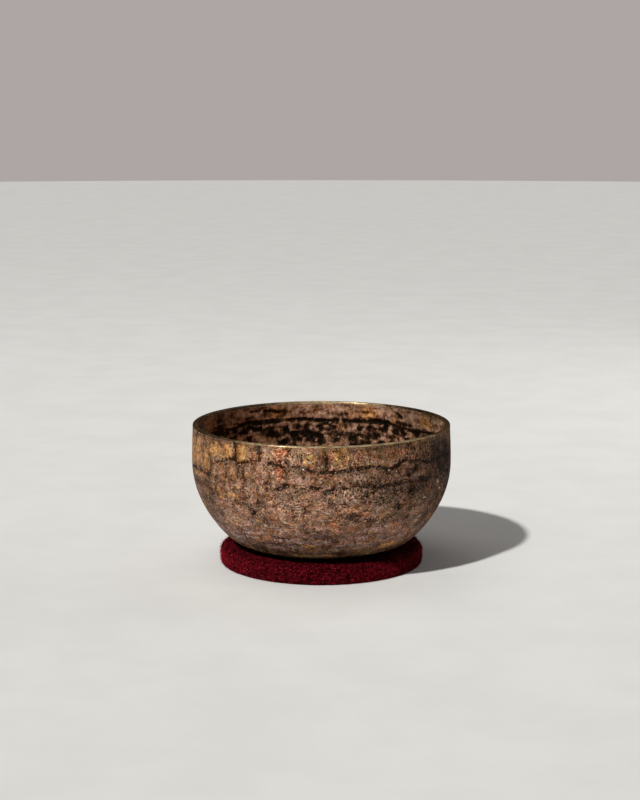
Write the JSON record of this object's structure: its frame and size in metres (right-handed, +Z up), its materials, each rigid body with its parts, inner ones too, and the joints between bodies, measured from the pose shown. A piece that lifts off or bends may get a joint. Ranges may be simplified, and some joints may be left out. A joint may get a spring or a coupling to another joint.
{
  "type": "singing bowl",
  "caption": "Hammered bronze standing singing bowl with a thick flat lip, standing loose on a round pressed-felt pad.",
  "frame": {"origin": "centre of the pad's underside, on the surface the pad lies on", "axes": "+Z up along the bowl's and the pad's common axis; +X to the viewer's right, -Y towards the viewer"},
  "size_m": [0.1814, 0.1814, 0.098],
  "materials": {
    "hammered_bronze": "hammered, with a mottled brown patina outside and in and a worn satin lip",
    "red_felt": "pressed wool felt, matte, with loose fibres"
  },
  "bodies": {
    "pad": {"felt_pad": "red_felt"},
    "bowl": {"bowl": "hammered_bronze"}
  },
  "joints": [
    {"name": "bowl_lift", "type": "slide", "parent": "pad", "child": "bowl", "axis": [0, 0, 1], "range_m": [0, 0.12]}
  ]
}
